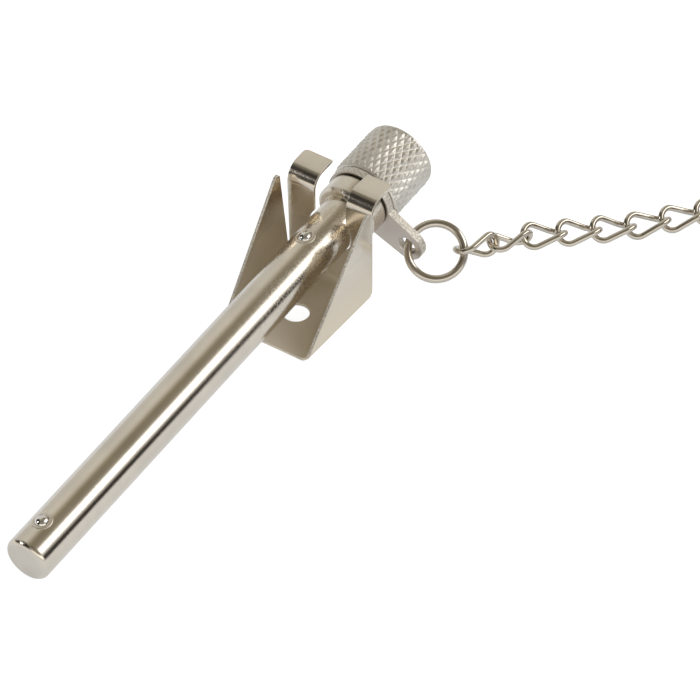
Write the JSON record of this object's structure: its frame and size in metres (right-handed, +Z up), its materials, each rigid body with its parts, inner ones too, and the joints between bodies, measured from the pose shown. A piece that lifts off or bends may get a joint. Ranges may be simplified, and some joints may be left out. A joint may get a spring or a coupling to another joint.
{
  "type": "window lock pin",
  "caption": "Detent-ball window lock pin with a knurled knob, lying in a folded steel clip bracket and tethered by a swivel tab, a jump ring and a twisted-link chain",
  "frame": {"origin": "centre of the bracket's screw hole, on the underside of its base", "axes": "+Z up out of the screw hole, away from the surface that the bracket is fixed to; -Y the way the pin's tip points (the pin lies 4.8 degrees nose down, its tip on the same surface as the base); +X the side that the chain leaves on"},
  "size_m": [0.1141, 0.1724, 0.0207],
  "materials": {
    "sheet": "nickel plated sheet, light orange peel",
    "turned": "nickel plated, turned and barrelled bright",
    "knurled": "nickel plated over a fine diamond knurl",
    "ball": "polished ball bearing steel",
    "spring": "plain spring wire",
    "tab": "nickel plated, sheared edge",
    "wire": "nickel plated wire",
    "link": "nickel plated wire"
  },
  "bodies": {
    "bracket": {"bracket": "sheet"},
    "pin": {"pin": "turned", "knob": "knurled", "tip_ball_spring": "spring", "clip_ball_spring": "spring"},
    "tip_ball": {"tip_ball": "ball"},
    "clip_ball": {"clip_ball": "ball"},
    "tab": {"chain_tab": "tab"},
    "jump_ring": {"jump_ring": "wire"},
    "link_01": {"chain_link_01": "link"},
    "link_02": {"chain_link_02": "link"},
    "link_03": {"chain_link_03": "link"},
    "link_04": {"chain_link_04": "link"},
    "link_05": {"chain_link_05": "link"},
    "link_06": {"chain_link_06": "link"},
    "link_07": {"chain_link_07": "link"},
    "link_08": {"chain_link_08": "link"},
    "link_09": {"chain_link_09": "link"},
    "link_10": {"chain_link_10": "link"},
    "link_11": {"chain_link_11": "link"},
    "link_12": {"chain_link_12": "link"},
    "link_13": {"chain_link_13": "link"},
    "link_14": {"chain_link_14": "link"},
    "link_15": {"chain_link_15": "link"},
    "link_16": {"chain_link_16": "link"},
    "link_17": {"chain_link_17": "link"},
    "link_18": {"chain_link_18": "link"},
    "end_ring": {"end_ring": "wire"}
  },
  "joints": [
    {"name": "pin_slide", "type": "slide", "parent": "bracket", "child": "pin", "axis": [0, 0.9965, 0.0839], "range_m": [-0.003, 0.1]},
    {"name": "tip_ball_travel", "type": "slide", "parent": "pin", "child": "tip_ball", "axis": [0.1564, 0.0829, -0.9842], "range_m": [0, 0.00065], "stiffness_N_per_m": 1500, "springref_m": -0.001, "deforming": ["tip_ball_spring"]},
    {"name": "clip_ball_travel", "type": "slide", "parent": "pin", "child": "clip_ball", "axis": [0.1564, 0.0829, -0.9842], "range_m": [0, 0.00065], "stiffness_N_per_m": 1500, "springref_m": -0.001, "deforming": ["clip_ball_spring"]},
    {"name": "tab_swivel", "type": "hinge", "parent": "pin", "child": "tab", "pos_m": [0, 0.01892, 0.01161], "axis": [0, 0.9965, 0.0839], "continuous": true},
    {"name": "ring_swing", "type": "hinge", "parent": "tab", "child": "jump_ring", "pos_m": [0.00916, 0.0194, 0.00591], "axis": [0, 0.9965, 0.0839], "range_deg": [-45, 45]},
    {"name": "link_01_hinge", "type": "hinge", "parent": "jump_ring", "child": "link_01", "pos_m": [0.01711, 0.02383, 0.00522], "axis": [-0.4966, 0.5994, 0.6278], "range_deg": [-45, 45]},
    {"name": "link_02_hinge", "type": "hinge", "parent": "link_01", "child": "link_02", "pos_m": [0.0196, 0.02782, 0.00464], "axis": [-0.8118, 0.5396, 0.2233], "range_deg": [-45, 45]},
    {"name": "link_03_hinge", "type": "hinge", "parent": "link_02", "child": "link_03", "pos_m": [0.02342, 0.03392, 0.00375], "axis": [0.2538, -0.0184, 0.9671], "range_deg": [-45, 45]},
    {"name": "link_04_hinge", "type": "hinge", "parent": "link_03", "child": "link_04", "pos_m": [0.02655, 0.03765, 0.00315], "axis": [0.4862, -0.5206, -0.7018], "range_deg": [-45, 45]},
    {"name": "link_05_hinge", "type": "hinge", "parent": "link_04", "child": "link_05", "pos_m": [0.03117, 0.04316, 0.00227], "axis": [-0.5971, 0.3884, -0.7018], "range_deg": [-45, 45]},
    {"name": "link_06_hinge", "type": "hinge", "parent": "link_05", "child": "link_06", "pos_m": [0.0343, 0.04689, 0.00153], "axis": [-0.5417, 0.4545, 0.7071], "range_deg": [-45, 45]},
    {"name": "link_07_hinge", "type": "hinge", "parent": "link_06", "child": "link_07", "pos_m": [0.03896, 0.05244, 0.00153], "axis": [0.5417, -0.4545, 0.7071], "range_deg": [-45, 45]},
    {"name": "link_08_hinge", "type": "hinge", "parent": "link_07", "child": "link_08", "pos_m": [0.04212, 0.05621, 0.00153], "axis": [0.5417, -0.4545, -0.7071], "range_deg": [-45, 45]},
    {"name": "link_09_hinge", "type": "hinge", "parent": "link_08", "child": "link_09", "pos_m": [0.04678, 0.06176, 0.00153], "axis": [-0.5417, 0.4545, -0.7071], "range_deg": [-45, 45]},
    {"name": "link_10_hinge", "type": "hinge", "parent": "link_09", "child": "link_10", "pos_m": [0.04993, 0.06552, 0.00153], "axis": [-0.5417, 0.4545, 0.7071], "range_deg": [-45, 45]},
    {"name": "link_11_hinge", "type": "hinge", "parent": "link_10", "child": "link_11", "pos_m": [0.05459, 0.07107, 0.00153], "axis": [0.5417, -0.4545, 0.7071], "range_deg": [-45, 45]},
    {"name": "link_12_hinge", "type": "hinge", "parent": "link_11", "child": "link_12", "pos_m": [0.058, 0.07462, 0.00153], "axis": [0.4545, -0.5417, -0.7071], "range_deg": [-45, 45]},
    {"name": "link_13_hinge", "type": "hinge", "parent": "link_12", "child": "link_13", "pos_m": [0.06355, 0.07928, 0.00153], "axis": [-0.4545, 0.5417, -0.7071], "range_deg": [-45, 45]},
    {"name": "link_14_hinge", "type": "hinge", "parent": "link_13", "child": "link_14", "pos_m": [0.06752, 0.08218, 0.00153], "axis": [-0.3536, 0.6124, 0.7071], "range_deg": [-45, 45]},
    {"name": "link_15_hinge", "type": "hinge", "parent": "link_14", "child": "link_15", "pos_m": [0.0738, 0.08581, 0.00153], "axis": [0.3536, -0.6124, 0.7071], "range_deg": [-45, 45]},
    {"name": "link_16_hinge", "type": "hinge", "parent": "link_15", "child": "link_16", "pos_m": [0.07821, 0.08798, 0.00153], "axis": [0.2418, -0.6645, -0.7071], "range_deg": [-45, 45]},
    {"name": "link_17_hinge", "type": "hinge", "parent": "link_16", "child": "link_17", "pos_m": [0.08502, 0.09046, 0.00153], "axis": [-0.2418, 0.6645, -0.7071], "range_deg": [-45, 45]},
    {"name": "link_18_hinge", "type": "hinge", "parent": "link_17", "child": "link_18", "pos_m": [0.08973, 0.09183, 0.00179], "axis": [-0.1799, 0.8886, 0.422], "range_deg": [-45, 45]},
    {"name": "end_ring_hinge", "type": "hinge", "parent": "link_18", "child": "end_ring", "pos_m": [0.09512, 0.09318, 0.00199], "axis": [-0.1736, 0.9848, 0], "range_deg": [-60, 40]}
  ]
}
